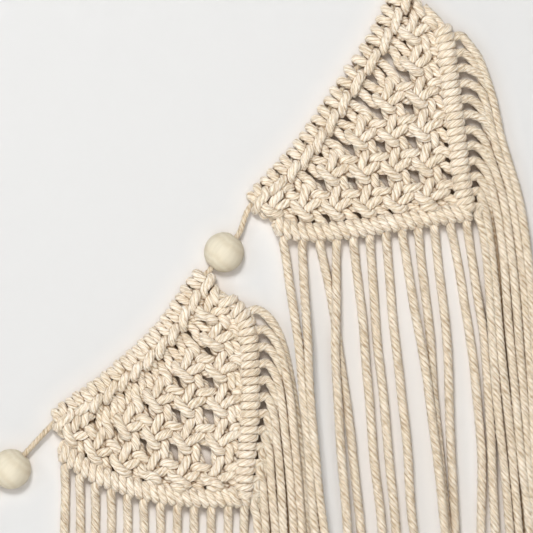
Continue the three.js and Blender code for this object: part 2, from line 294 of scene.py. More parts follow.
def plied_cord_tree():
    """Sweeps a twisted cord of several plies along each curve it is given."""
    tree = bpy.data.node_groups.new("plied cord", "GeometryNodeTree")
    shown = tree.interface
    shown.new_socket("Geometry", in_out="INPUT", socket_type="NodeSocketGeometry")
    for name in ("Cord width", "Plies", "Twist length", "Step", "Groove", "Sides", "Fuzz"):
        shown.new_socket(name, in_out="INPUT", socket_type="NodeSocketFloat")
    shown.new_socket("Finish", in_out="INPUT", socket_type="NodeSocketMaterial")
    shown.new_socket("Geometry", in_out="OUTPUT", socket_type="NodeSocketGeometry")
    given = add_node(tree, "NodeGroupInput").outputs
    worked = sums_in(tree)
    line = add_node(
        tree,
        "GeometryNodeResampleCurve",
        {"Curve": given["Geometry"], "Length": given["Step"]},
        mode="LENGTH",
    )
    spot = add_node(tree, "GeometryNodeSplineParameter").outputs
    turns = worked("DIVIDE", spot["Length"], given["Twist length"])
    own = add_node(tree, "GeometryNodeCurveOfPoint").outputs["Curve Index"]
    chance = add_node(tree, "ShaderNodeTexWhiteNoise", {"W": own}, noise_dimensions="1D")
    turns = worked("ADD", turns, chance.outputs["Value"])
    twisted = add_node(
        tree,
        "GeometryNodeSetCurveTilt",
        {"Curve": line.outputs["Curve"], "Tilt": worked("MULTIPLY", turns, 2 * math.pi)},
    )
    marked = add_node(
        tree,
        "GeometryNodeStoreNamedAttribute",
        {"Geometry": twisted.outputs["Curve"], "Name": "along", "Value": spot["Length"]},
        data_type="FLOAT",
        domain="POINT",
    )
    lumps = add_node(tree, "ShaderNodeTexNoise", {"Scale": LUMP_SCALE, "Detail": 1.0})
    swell = worked("MULTIPLY_ADD", lumps.outputs["Fac"], MORE_SWELL, LEAST_SWELL)
    swell = worked("MULTIPLY", swell, add_node(tree, "GeometryNodeInputRadius").outputs["Radius"])
    swollen = add_node(
        tree,
        "GeometryNodeSetCurveRadius",
        {"Curve": marked.outputs["Geometry"], "Radius": swell},
    )
    ring = add_node(
        tree,
        "GeometryNodeCurvePrimitiveCircle",
        {"Resolution": given["Sides"], "Radius": worked("MULTIPLY", given["Cord width"], 0.5)},
        mode="RADIUS",
    )
    angle = worked("MULTIPLY", worked("MULTIPLY", spot["Factor"], given["Plies"]), math.pi)
    ply = worked("ABSOLUTE", worked("COSINE", angle))
    sunk = worked("MULTIPLY", worked("SUBTRACT", 1.0, ply), given["Groove"])
    place = add_node(tree, "GeometryNodeInputPosition").outputs["Position"]
    lobed = add_node(
        tree,
        "ShaderNodeVectorMath",
        {0: place, "Scale": worked("SUBTRACT", 1.0, sunk)},
        operation="SCALE",
    )
    ring_places = add_node(
        tree,
        "GeometryNodeStoreNamedAttribute",
        {"Geometry": ring.outputs["Curve"], "Name": "section", "Value": place},
        data_type="FLOAT_VECTOR",
        domain="POINT",
    )
    profile = add_node(
        tree,
        "GeometryNodeSetPosition",
        {"Geometry": ring_places.outputs["Geometry"], "Position": lobed.outputs["Vector"]},
    )
    swept = add_node(
        tree,
        "GeometryNodeCurveToMesh",
        {
            "Curve": swollen.outputs["Curve"],
            "Profile Curve": profile.outputs["Geometry"],
            "Fill Caps": True,
        },
    )
    tufts = add_node(
        tree, "ShaderNodeTexNoise", {"Scale": TUFT_SCALE, "Detail": 2.0, "Roughness": 0.6}
    )
    raised = worked("MULTIPLY", worked("SUBTRACT", tufts.outputs["Fac"], 0.5), given["Fuzz"])
    normal = add_node(tree, "GeometryNodeInputNormal").outputs["Normal"]
    fuzz = add_node(tree, "ShaderNodeVectorMath", {0: normal, "Scale": raised}, operation="SCALE")
    rough = add_node(
        tree,
        "GeometryNodeSetPosition",
        {"Geometry": swept.outputs["Mesh"], "Offset": fuzz.outputs["Vector"]},
    )
    # Rays from just off each point find how shut in by cotton it is, for the painted shade in nooks.
    start = add_node(
        tree,
        "ShaderNodeVectorMath",
        {0: normal, 1: (NOOK_RAY_START,) * 3, 2: place},
        operation="MULTIPLY_ADD",
    )
    met = 0.0
    corners = list(itertools.product((-NOOK_RAY_SPREAD, NOOK_RAY_SPREAD), repeat=3))
    for corner in corners:
        aim = add_node(tree, "ShaderNodeVectorMath", {0: normal, 1: corner}, operation="ADD")
        look = add_node(
            tree,
            "GeometryNodeRaycast",
            {
                "Target Geometry": rough.outputs["Geometry"],
                "Source Position": start.outputs["Vector"],
                "Ray Direction": aim.outputs["Vector"],
                "Ray Length": NOOK_RAY,
            },
        )
        met = worked("ADD", look.outputs["Is Hit"], met)
    share_met = worked("DIVIDE", met, len(corners))
    nooks = add_node(
        tree,
        "GeometryNodeStoreNamedAttribute",
        {"Geometry": rough.outputs["Geometry"], "Name": "nook_shade", "Value": share_met},
        data_type="FLOAT",
        domain="POINT",
    )
    smooth = add_node(tree, "GeometryNodeSetShadeSmooth", {"Geometry": nooks.outputs["Geometry"]})
    real = add_node(tree, "GeometryNodeRealizeInstances", {"Geometry": smooth.outputs["Geometry"]})
    finished = add_node(
        tree,
        "GeometryNodeSetMaterial",
        {"Geometry": real.outputs["Geometry"], "Material": given["Finish"]},
    )
    add_node(tree, "NodeGroupOutput", {"Geometry": finished.outputs["Geometry"]})
    return tree


cord_tree = plied_cord_tree()


def lay_cord(name, routes, plumpness=None, **sizes):
    """One piece of twisted cord along every route, as a plain mesh."""
    curve = bpy.data.curves.new(name, "CURVE")
    curve.dimensions = "3D"
    for index, route in enumerate(routes):
        spline = curve.splines.new("POLY")
        spline.points.add(len(route) - 1)
        spline.points.foreach_set("co", np.insert(route, 3, 1.0, axis=1).ravel())
        if plumpness:
            spline.points.foreach_set("radius", plumpness[index])
    source = bpy.data.objects.new(name + " line", curve)
    bpy.context.collection.objects.link(source)
    sweep = source.modifiers.new("plied cord", "NODES")
    sweep.node_group = cord_tree
    for socket in cord_tree.interface.items_tree:
        if socket.in_out == "INPUT" and socket.name in sizes:
            sweep[socket.identifier] = sizes[socket.name]
    bpy.context.view_layer.update()
    seen = source.evaluated_get(bpy.context.evaluated_depsgraph_get())
    mesh = bpy.data.meshes.new_from_object(seen)
    mesh.name = name
    bpy.data.objects.remove(source)
    bpy.data.curves.remove(curve)
    piece = bpy.data.objects.new(name, mesh)
    bpy.context.collection.objects.link(piece)
    return piece


def twisted_cotton(name, pale, dark, plies):
    """Matte natural cotton: pale plies, painted shade in the grooves and nooks, fibres along the
    plies.
    """
    material = bpy.data.materials.new(name)
    material.use_nodes = True
    tree = material.node_tree
    body = tree.nodes["Principled BSDF"]
    body.inputs["Roughness"].default_value = 0.95
    body.inputs["Specular IOR Level"].default_value = 0.15
    body.inputs["Sheen Weight"].default_value = 0.2
    body.inputs["Sheen Roughness"].default_value = 0.6
    body.inputs["Subsurface Weight"].default_value = 0.25
    body.inputs["Subsurface Radius"].default_value = (1, 0.8, 0.65)
    body.inputs["Subsurface Scale"].default_value = 0.0015

    worked = sums_in(tree)

    def rising(value, low, high):
        """From 0 where the value is low to 1 where it is high."""
        sockets = {"Value": value, "From Min": low, "From Max": high}
        return add_node(tree, "ShaderNodeMapRange", sockets).outputs["Result"]

    def falling(value, low, high):
        """From 1 where the value is low to 0 where it is high."""
        return worked("SUBTRACT", 1.0, rising(value, low, high))

    along = add_node(tree, "ShaderNodeAttribute", attribute_name="along").outputs["Fac"]
    section = add_node(tree, "ShaderNodeAttribute", attribute_name="section").outputs["Vector"]
    place = add_node(tree, "ShaderNodeTexCoord").outputs["Object"]
    split = add_node(tree, "ShaderNodeSeparateXYZ", {"Vector": section}).outputs
    around = worked("ARCTAN2", split["Y"], split["X"])
    ply = worked("ABSOLUTE", worked("COSINE", worked("MULTIPLY", around, 0.5 * plies)))

    def fibres(across, length, detail):
        """Streaks of cotton that lie along the plies, so many to a turn round the cord and so long."""
        spot = add_node(
            tree,
            "ShaderNodeCombineXYZ",
            {
                "X": worked("MULTIPLY", worked("COSINE", around), across / (2 * math.pi)),
                "Y": worked("MULTIPLY", worked("SINE", around), across / (2 * math.pi)),
                "Z": worked("DIVIDE", along, length),
            },
        )
        moved = add_node(
            tree,
            "ShaderNodeVectorMath",
            {0: place, 1: (PATCH_SCALE,) * 3, 2: spot.outputs["Vector"]},
            operation="MULTIPLY_ADD",
        )
        noise = add_node(
            tree,
            "ShaderNodeTexNoise",
            {"Vector": moved.outputs["Vector"], "Scale": 1.0, "Detail": detail, "Roughness": 0.6},
        )
        return noise.outputs["Fac"]

    def stained_or_shaded(colour, amount, tint):
        """The colour, multiplied by this amount of a stain or of painted shade."""
        sockets = {"Factor": amount, "A": colour, "B": tint}
        made = add_node(tree, "ShaderNodeMix", sockets, data_type="RGBA", blend_type="MULTIPLY")
        return made.outputs["Result"]

    coarse = worked("MULTIPLY", fibres(across=10, length=0.004, detail=1.0), 1 - FINE_SHARE)
    fine = fibres(across=22, length=0.002, detail=2.0)
    fleece = worked("MULTIPLY_ADD", fine, FINE_SHARE, coarse)
    frayed = worked("MULTIPLY_ADD", fleece, FRAY, around)
    twists = worked("MULTIPLY", frayed, 0.5 * YARNS_TO_A_PLY * plies)
    yarn = worked("ABSOLUTE", worked("COSINE", twists))
    patch = add_node(
        tree, "ShaderNodeTexNoise", {"Vector": place, "Scale": PATCH_SCALE, "Detail": 2.0}
    )
    nook_shade = add_node(tree, "ShaderNodeAttribute", attribute_name="nook_shade").outputs["Fac"]
    tone = add_node(
        tree,
        "ShaderNodeMix",
        {"Factor": rising(fleece, 0.36, 0.56), "A": dark, "B": pale},
        data_type="RGBA",
    ).outputs["Result"]
    # Painted shade in the grooves between the plies.
    tone = stained_or_shaded(tone, falling(ply, 0.0, 0.55), GROOVE_PAINTED_SHADE)
    tone = stained_or_shaded(tone, falling(yarn, 0.0, 0.5), YARN_STAIN)
    tone = stained_or_shaded(tone, falling(patch.outputs["Fac"], 0.35, 0.65), PATCH_STAIN)
    # Painted shade in the nooks between cords.
    tone = stained_or_shaded(tone, rising(nook_shade, 0.45, 1.0), NOOK_PAINTED_SHADE)
    # Painted shade where cords of one piece lie close against each other.
    open_air = add_node(
        tree,
        "ShaderNodeAmbientOcclusion",
        {"Distance": CONTACT_REACH},
        samples=6,
        only_local=True,
    )
    tone = stained_or_shaded(tone, falling(open_air.outputs["AO"], 0.1, 0.42), CONTACT_PAINTED_SHADE)
    tree.links.new(tone, body.inputs["Base Color"])
    relief = add_node(tree, "ShaderNodeBump", {"Height": fleece, "Strength": 0.8, "Distance": 0.001})
    tree.links.new(relief.outputs["Normal"], body.inputs["Normal"])
    return material


CARRIER_SIZES = {
    "Cord width": CARRIER_WIDTH,
    "Plies": float(CARRIER_PLIES),
    "Twist length": -CARRIER_TWIST,
    "Step": CARRIER_STEP,
    "Groove": 0.2,
    "Sides": 12,
    "Fuzz": 0.0004,
    "Finish": twisted_cotton("carrier cotton", CARRIER_PALE, CARRIER_DARK, CARRIER_PLIES),
}
carrier_line = smooth_route(in_plane(CARRIER_ROUTE), CARRIER_STEP)
carrier = lay_cord("carrier_cord_twist", [carrier_line], **CARRIER_SIZES)

# End loops of the carrier
# The cord's own ends, bent back into a small eye and drawn tight in an overhand knot whose turns
# lie round the standing cord.
LOOP_LENGTH = 0.013
LOOP_WIDTH = 0.009
LOOP_KNOT = 0.007
LOOP_TUCK = 0.004
LEGS_APART = 0.0008
LEG_LIFT = 0.0004
KNOT_LENGTH = 0.0064
KNOT_TURNS = 3
STEPS_A_TURN = 8


def end_loop(end, outward):
    """The eye and, below it, the three turns of its knot."""
    aside = np.cross(FRONT, outward)

    def spot(far, wide, near=0.0):
        return end + outward * far + aside * wide + FRONT * near

    half = (LOOP_WIDTH - CARRIER_WIDTH) / 2
    neck, narrow, shoulder = 0.35 * LOOP_LENGTH, 0.7 * half, 0.75 * LOOP_LENGTH
    eye = [
        spot(-LOOP_TUCK, -LEGS_APART),
        spot(neck, -narrow, LEG_LIFT),
        spot(shoulder, -half, LEG_LIFT),
        spot(LOOP_LENGTH, 0),
        spot(shoulder, half, -LEG_LIFT),
        spot(neck, narrow, -LEG_LIFT),
        spot(-LOOP_TUCK, LEGS_APART),
    ]
    radius = (LOOP_KNOT - CARRIER_WIDTH) / 2
    steps = KNOT_TURNS * STEPS_A_TURN
    turns = []
    for step in range(steps + 1):
        angle = 2 * math.pi * step / STEPS_A_TURN
        far = KNOT_LENGTH * (step / steps - 0.5)
        turns.append(spot(far, radius * math.cos(angle), radius * math.sin(angle)))
    return [smooth_route(eye, CARRIER_STEP), smooth_route(turns, CARRIER_STEP)]


def heading(line):
    """The direction from a line's first point to its second."""
    run = line[1] - line[0]
    return run / np.linalg.norm(run)


upper_loop = end_loop(carrier_line[-1], heading(carrier_line[-2:]))
lower_loop = end_loop(carrier_line[0], -heading(carrier_line))
end_loops = lay_cord("carrier_end_loops", upper_loop + lower_loop, **CARRIER_SIZES)
for piece in (carrier, end_loops):
    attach(piece, "root")
    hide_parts("carrier_cord")

# Wooden beads
# Two plain turned beads of raw pale wood, bored along the grain and threaded on the carrier. The
# rims of the bore are slightly eased, and the faces round them are sanded flat.
BEAD_WIDTH = 0.02
BEAD_BORE = 0.0042
BEAD_FLAT = 0.0026
BEAD_EASED = 0.0005
BEAD_SIDES = 64
BEAD_RINGS = 41
BORE_RINGS = 9
# Each bead and the point of the carrier's route that it sits on.
BEADS = [("bead_upper", 14), ("bead_lower", 2)]
WOOD_DARK = (0.62, 0.55, 0.42, 1)
WOOD_PALE = (0.66, 0.6, 0.475, 1)
GRAIN_SCALE = (420, 420, 26)
RING_SCALE = (110, 110, 9)
RING_CENTRE = (0.006, 0.003, 0)


def raw_wood():
    """Raw pale wood with fine grain along the bore and faint rings round it."""
    material = bpy.data.materials.new("raw pale wood")
    material.use_nodes = True
    tree = material.node_tree
    body = tree.nodes["Principled BSDF"]
    body.inputs["Roughness"].default_value = 0.62
    body.inputs["Specular IOR Level"].default_value = 0.25
    turned = add_node(tree, "ShaderNodeAttribute", attribute_name="turned").outputs["Vector"]
    grain_place = add_node(tree, "ShaderNodeMapping", {"Vector": turned, "Scale": GRAIN_SCALE})
    grain = add_node(
        tree,
        "ShaderNodeTexNoise",
        {"Vector": grain_place.outputs["Vector"], "Scale": 1.0, "Detail": 5.0, "Roughness": 0.62},
    )
    ring_place = add_node(
        tree,
        "ShaderNodeMapping",
        {"Vector": turned, "Location": RING_CENTRE, "Scale": RING_SCALE},
    )
    rings = add_node(
        tree,
        "ShaderNodeTexWave",
        {"Vector": ring_place.outputs["Vector"], "Scale": 1.3, "Distortion": 2.5, "Detail": 2.0},
        wave_type="RINGS",
        rings_direction="Z",
    )
    tone = add_node(
        tree,
        "ShaderNodeMix",
        {"Factor": rings.outputs["Fac"], "A": WOOD_DARK, "B": WOOD_PALE},
        data_type="RGBA",
    )
    shade = add_node(
        tree,
        "ShaderNodeMapRange",
        {
            "Value": grain.outputs["Fac"],
            "From Min": 0.3,
            "From Max": 0.7,
            "To Min": 0.93,
            "To Max": 1.03,
        },
    )
    shaded = add_node(
        tree,
        "ShaderNodeVectorMath",
        {0: tone.outputs["Result"], "Scale": shade.outputs["Result"]},
        operation="SCALE",
    )
    tree.links.new(shaded.outputs["Vector"], body.inputs["Base Color"])
    relief = add_node(
        tree, "ShaderNodeBump", {"Height": grain.outputs["Fac"], "Strength": 0.25, "Distance": 0.0002}
    )
    tree.links.new(relief.outputs["Normal"], body.inputs["Normal"])
    return material


def turned_bead(name, place, axis, finish):
    """A ball with a bore along the axis, as one outline turned right round."""
    radius, bore, eased = BEAD_WIDTH / 2, BEAD_BORE / 2, BEAD_EASED
    first = math.asin((bore + BEAD_FLAT / 2) / radius)
    face = radius * math.cos(first)
    outline = [
        (radius * math.sin(angle), -radius * math.cos(angle))
        for angle in np.linspace(first, math.pi - first, BEAD_RINGS)
    ]
    lip, lip_height = bore + 0.3 * eased, face - 0.25 * eased
    outline += [(bore + eased, face), (lip, lip_height)]
    outline += [(bore, height) for height in np.linspace(face - eased, eased - face, BORE_RINGS)]
    outline += [(lip, -lip_height), (bore + eased, -face)]
    angles = np.linspace(0, 2 * math.pi, BEAD_SIDES, endpoint=False)
    local = np.array([(r * math.cos(a), r * math.sin(a), h) for r, h in outline for a in angles])
    count = len(outline)
    faces = []
    for i in range(count):
        for j in range(BEAD_SIDES):
            near, far = i * BEAD_SIDES, (i + 1) % count * BEAD_SIDES
            after = (j + 1) % BEAD_SIDES
            faces.append((near + j, near + after, far + after, far + j))
    mesh = bpy.data.meshes.new(name)
    turn = Vector((0, 0, 1)).rotation_difference(Vector(axis)).to_matrix()
    placed = local @ np.array(turn).T + place
    mesh.from_pydata(placed.tolist(), [], faces)
    turned = mesh.attributes.new("turned", "FLOAT_VECTOR", "POINT")
    turned.data.foreach_set("vector", local.ravel())
    mesh.polygons.foreach_set("use_smooth", [True] * len(faces))
    mesh.materials.append(finish)
    bead = bpy.data.objects.new(name + "_turned", mesh)
    bpy.context.collection.objects.link(bead)
    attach(bead, "root")
    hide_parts(name)


bead_wood = raw_wood()
for name, stop in BEADS:
    before, place, after = in_plane(CARRIER_ROUTE)[stop - 1:stop + 2]
    turned_bead(name, place, heading([before, after]), bead_wood)

# Pennant nets
# Each pennant is a dozen cotton cords, folded in half and hitched to the carrier with lark's heads.
# Their strands are tied in alternating square knots that narrow to a tip, so all is one knotted net.
CORD = 0.0043
CORD_TWIST = 0.016
CORD_PLIES = 5
CORD_STEP = 0.0008
CORD_PALE = (0.895, 0.825, 0.725, 1)
CORD_DARK = (0.55, 0.45, 0.335, 1)
LARKS_HEADS = 12
KNOT_ROWS = 6
STRANDS = 2 * LARKS_HEADS
NET_PLUMP = 1.12
NET_SIDES = 20
HEAD_PLUMP = 1.22
PLUMP_NEAR = 1.2
PLUMP_FAR = 2.2
# Drawing the knots tight: the points of a strand are one node step apart.
NODE_STEP = 0.0012
SQUEEZE = 0.84
SMOOTHING = 0.2
HOMING = 0.03
SETTLE_ROUNDS = 80
ROUNDS_A_SEARCH = 8
SEARCH_REACH = 1.2
OWN_REACH = 1.7
PUSHES_A_ROUND = 3
PUSH_SHARE = 0.25
# Points are x and z. The head is the stretch of the carrier's route that the lark's heads cover,
# and the roots are the stretch of each bar that has strands. A row of bottom falls is a strand's x
# halfway and low down and how far in front it hangs. A row of side falls is a strand's inset from
# the side edge, high and low, and whether it hangs behind. A row of the side edge is its z and x.
PENNANTS = {
    "upper": {
        "field": {
            "left": (-0.0778, -0.1248),
            "top_mid": (-0.0425, -0.083),
            "right": (-0.0082, -0.0378),
            "side_mid": (-0.0043, -0.0773),
            "tip": (-0.0005, -0.1203),
            "bottom_mid": (-0.0397, -0.124),
        },
        "head": (16.4, 24.2),
        "head_spread": (0, 2.66, 4.55, 6.58, 8.97, 12),
        "bottom_bar": [
            (-0.0797, -0.1348),
            (-0.072, -0.1385),
            (-0.061, -0.1397),
            (-0.0455, -0.1387),
            (-0.004, -0.1325),
            (0.0185, -0.1293),
        ],
        "side_bar": [
            (-0.0045, -0.027),
            (0.004, -0.036),
            (0.0064, -0.043),
            (0.008, -0.057),
            (0.0120, -0.0895),
            (0.0155, -0.1195),
            (0.0177, -0.130),
        ],
        "bottom_roots": (0.08, 0.98),
        "side_roots": (0.184, 0.98),
        "bottom_falls": [
            (-0.0650, -0.0580, 0.0085),
            (-0.0610, -0.0535, 0.0085),
            (-0.0433, -0.0360, 0),
            (-0.0472, -0.0426, 0.0042),
            (-0.0318, -0.0252, 0),
            (-0.0250, -0.0185, 0),
            (-0.0160, -0.0087, 0),
            (-0.0030, 0.0072, 0.0042),
            (0.0008, 0.0076, 0),
            (0.0082, 0.0110, 0.0006),
            (0.0216, 0.0242, 0),
            (0.0274, 0.0312, 0),
        ],
        "side_falls": [
            (0.0012, 0.0008, 0),
            (0.0036, 0.0028, 1),
            (0.0024, 0.0016, 1),
            (0.0050, 0.0034, 0),
            (0.0074, 0.0070, 1),
            (0.0062, 0.0055, 1),
            (0.0098, 0.0052, 0),
            (0.0112, 0.0100, 1),
            (0.0138, 0.0086, 0),
            (0.0165, 0.0155, 1),
            (0.0192, 0.0134, 0),
            (0.0222, 0.0184, 0),
        ],
        "side_edge": [
            (-0.036, 0.014),
            (-0.052, 0.024),
            (-0.068, 0.030),
            (-0.095, 0.0365),
            (-0.118, 0.044),
            (-0.142, 0.048),
            (-0.168, 0.051),
            (-0.310, 0.058),
        ],
    },
    "lower": {
        "field": {
            "left": (-0.178, -0.238),
            "top_mid": (-0.143, -0.2115),
            "right": (-0.1093, -0.178),
            "side_mid": (-0.1038, -0.214),
            "tip": (-0.1068, -0.261),
            "bottom_mid": (-0.146, -0.256),
        },
        "head": (4.75, 12.7),
        "head_spread": (0, 3, 5, 6.85, 8.8, 12),
        "bottom_bar": [
            (-0.1835, -0.2495),
            (-0.175, -0.256),
            (-0.1648, -0.2615),
            (-0.140, -0.2695),
            (-0.116, -0.2723),
            (-0.093, -0.2715),
        ],
        "side_bar": [
            (-0.107, -0.1715),
            (-0.099, -0.177),
            (-0.0935, -0.1835),
            (-0.0913, -0.1985),
            (-0.091, -0.2285),
            (-0.0935, -0.2605),
            (-0.0946, -0.2725),
        ],
        "bottom_roots": (0.05, 0.99),
        "side_roots": (0.15, 0.985),
        "bottom_falls": [
            (-0.1843, -0.1845, 0),
            (-0.1758, -0.1750, 0),
            (-0.1690, -0.1680, 0),
            (-0.1610, -0.1605, 0),
            (-0.1520, -0.1515, 0),
            (-0.1443, -0.1440, 0),
            (-0.1360, -0.1350, 0),
            (-0.1285, -0.1280, 0),
            (-0.1205, -0.1200, 0),
            (-0.1120, -0.1118, 0),
            (-0.1025, -0.1025, 0),
            (-0.0953, -0.0950, 0),
        ],
        "side_falls": [
            (0.0018, 0.0018, 1),
            (0.0040, 0.0040, 0),
            (0.0064, 0.0064, 1),
            (0.0087, 0.0087, 0),
            (0.0110, 0.0110, 1),
            (0.0133, 0.0133, 0),
            (0.0156, 0.0156, 1),
            (0.0179, 0.0179, 0),
            (0.0202, 0.0202, 1),
            (0.0224, 0.0224, 0),
            (0.0247, 0.0247, 1),
            (0.0265, 0.0265, 0),
        ],
        "side_edge": [
            (-0.177, -0.083),
            (-0.186, -0.0765),
            (-0.2035, -0.0705),
            (-0.2235, -0.0665),
            (-0.2545, -0.063),
            (-0.290, -0.0605),
            (-0.452, -0.058),
        ],
    },
}
# Half of a lark's head, from the middle of its bar to its strand, in cord widths: along the
# carrier, out from the net, and to the front.
LARKS_HEAD = [
    (0, -0.85, 1.16),
    (0.5, -0.86, 1.08),
    (0.88, -0.88, 0.66),
    (0.98, -0.84, 0.0),
    (0.92, -0.35, -0.74),
    (0.8, 0.4, -0.8),
    (0.7, 0.86, -0.2),
    (0.64, 0.82, 0.45),
    (0.58, 0.35, 0.9),
    (0.52, -0.45, 0.66),
    (0.5, -1.0, 0.05),
    (0.52, -1.7, 0.0),
    (0.54, -2.6, 0.0),
]
LARKS_HEAD_PITCH = 2.55
# A head spread says where each of these counts of lark's heads ends, in twelfths of the head.
HEAD_MARKS = (0, 3, 5, 7, 9, 12)
HEAD_SLANT = 0.2
# The strands of a square knot that starts from the left, in cord widths: to the right, up and to
# the front. The first makes both bars in front, and the last wraps behind and over their left ends.
KNOT_BARS = [
    (-2.14, 1.5, 0.05),
    (-1.95, 0.95, 0.2),
    (-1.57, 0.45, 0.3),
    (-0.79, 0.36, 0.68),
    (0.29, 0.67, 0.95),
    (1.29, 0.98, 0.62),
    (1.85, 0.95, 0.1),
    (2.25, 0.25, -0.35),
    (2.0, -0.5, 0.0),
    (1.35, -0.8, 0.55),
    (0.29, -0.65, 0.95),
    (-0.62, -0.5, 0.81),
    (-1.24, -0.57, 0.38),
    (-1.81, -0.81, 0.1),
    (-2.24, -1.33, 0.05),
]
KNOT_WRAP = [
    (2.12, 1.24, 0.55),
    (2.15, 0.8, 0.85),
    (1.95, 0.45, 0.6),
    (1.45, 0.32, -0.1),
    (0.67, 0.36, -0.9),
    (-0.48, 0.62, -0.9),
    (-1.1, 1.05, -0.15),
    (-1.28, 1.2, 0.55),
    (-1.38, 0.71, 1.2),
    (-1.45, 0.05, 1.28),
    (-1.38, -0.57, 1.18),
    (-1.14, -1.04, 0.7),
    (-0.76, -1.14, -0.1),
    (-0.19, -1.0, -0.88),
    (0.71, -0.67, -0.9),
    (1.38, -0.4, -0.3),
    (1.62, -0.38, 0.5),
    (1.95, -0.75, 1.0),
    (2.25, -1.15, 0.6),
    (2.35, -1.4, 0.2),
]
KNOT_FILLERS = [[(-0.45, 1.1, 0), (-0.45, -1.05, 0)], [(0.45, 1.1, 0), (0.45, -1.05, 0)]]
SQUARE_KNOT = [np.array(path) for path in (KNOT_BARS, *KNOT_FILLERS, KNOT_WRAP)]
KNOT_PITCH = 6.1
ROW_PITCH = 2.75
KNOT_DEPTH = 0.85
HEADING_SPAN = 0.02
# The hitched bars, which lie a little to the front. A strand's turns and its way out are in cord
# widths, its slant is in radians, where it starts is in turns, and its angles are in degrees.
FRINGE_STRANDS = 12
BAR_TURN = 0.7
BAR_SLANT = {"bottom": 3.6, "side": 0.7}
BAR_HOLDER = 0.34
BAR_DEPTH = -0.002
HITCH_ANGLES = range(20, 830, 30)
HITCH_LEAD = 1.75
HITCH_EARLIEST = -1.3
EXIT_BELOW = 1.25
EXIT_BEHIND = 0.1
EDGES = ("bottom", "side")


def knot_place(field, row, m):
    """A knot's middle, on a curved triangle through the corners and mid-edges of its field."""
    w, v = row / (KNOT_ROWS - 1), m / (KNOT_ROWS - 1)
    u = 1 - w - v
    spots = {name: np.array((x, 0.0, z)) for name, (x, z) in field.items()}
    ends = u * (2 * u - 1) * spots["left"] + v * (2 * v - 1) * spots["right"]
    corners = ends + w * (2 * w - 1) * spots["tip"]
    edges = u * v * spots["top_mid"] + v * w * spots["side_mid"] + w * u * spots["bottom_mid"]
    return corners + 4 * edges


def knot_axes(field, row, m):
    """Directions across, up and to the front of a square knot, one cord width long each."""
    across = knot_place(field, row, m + 0.5) - knot_place(field, row, m - 0.5)
    down = knot_place(field, row + 0.5, m - 0.25) - knot_place(field, row - 0.5, m + 0.25)
    return np.array([across / KNOT_PITCH, -down / ROW_PITCH, KNOT_DEPTH * CORD * FRONT])


def carrier_stretch(head):
    """The part of the carrier between two of its route points, counted along the route."""
    route = in_plane(CARRIER_ROUTE)
    marks = [np.linalg.norm(carrier_line - point, axis=1).argmin() for point in route]
    first, last = np.interp(head, np.arange(len(marks)), marks).astype(int)
    return carrier_line[first:last]


def on_line(line, share):
    """The point at this share of a line's length."""
    lengths = np.concatenate([[0], np.cumsum(np.linalg.norm(np.diff(line, axis=0), axis=1))])
    return np.array([np.interp(share * lengths[-1], lengths, line[:, axis]) for axis in range(3)])


def along_line(line, share):
    """The direction of a line at this share of its length."""
    before = on_line(line, max(share - HEADING_SPAN, 0))
    return heading([before, on_line(line, min(share + HEADING_SPAN, 1))])


def larks_head_half(heads, spread, strand):
    """One half of a lark's head, whose bar slants out towards the upper end of the carrier."""
    places = strand // 2 + np.array((0, 0.5, 1))
    first, middle, last = np.interp(places, HEAD_MARKS, spread) / LARKS_HEADS
    run = along_line(heads, middle)
    length = np.linalg.norm(np.diff(heads, axis=0), axis=1).sum()
    scale = length * (last - first) / LARKS_HEAD_PITCH
    axes = np.array([run * scale, np.cross(FRONT, run) * CORD, FRONT * CORD])
    half = np.array(LARKS_HEAD) * (1 if strand % 2 else -1, 1, 1)
    half[:, 1] += HEAD_SLANT * half[:, 0]
    return on_line(heads, middle) + half @ axes


def tied_at(strand, row):
    """The square knot that a strand is in at a row and its place in it, or None."""
    m, turn = divmod(strand - 2 * row, 4)
    if row == 0 and 0 < m < KNOT_ROWS - 1:
        return None
    return (m, turn) if 0 <= m < KNOT_ROWS - row else None


def bar_of(strand):
    """The edge that a strand leaves by and its place along that bar."""
    if strand < FRINGE_STRANDS:
        return "bottom", strand
    return "side", STRANDS - 1 - strand


def bar_hitches(line, roots, edge, i):
    """A strand's two turns round the bar's holding strand, from behind, and its way out below."""
    first, last = roots
    pitch = (last - first) / (FRINGE_STRANDS - 1)
    root = first + pitch * i
    side = 1 if edge == "bottom" else -1
    path = []
    for angle in HITCH_ANGLES:
        turn = math.radians(angle)
        progress = (turn - BAR_SLANT[edge] * math.cos(turn)) / (2 * math.pi) - HITCH_LEAD
        share = min(max(root + 0.5 * pitch * max(HITCH_EARLIEST, progress), 0.0), 1.0)
        inward = side * np.cross(FRONT, along_line(line, share))
        outward = math.cos(turn) * inward - math.sin(turn) * FRONT
        path.append(on_line(line, share) + BAR_TURN * CORD * outward)
    inward = side * np.cross(FRONT, along_line(line, root))
    path.append(on_line(line, root) - CORD * (EXIT_BELOW * inward + EXIT_BEHIND * FRONT))
    return np.array(path)


def strand_path(pennant, heads, bar_lines, strand):
    """A strand from its lark's head through its knots and round its bar, and its first point there."""
    path = [larks_head_half(heads, pennant["head_spread"], strand)]
    for row in range(KNOT_ROWS):
        tied = tied_at(strand, row)
        if tied:
            m, turn = tied
            field = pennant["field"]
            path.append(knot_place(field, row, m) + SQUARE_KNOT[turn] @ knot_axes(field, row, m))
    edge, i = bar_of(strand)
    hitches = bar_hitches(bar_lines[edge], pennant[edge + "_roots"], edge, i)
    return np.vstack(path + [hitches]), hitches[0]


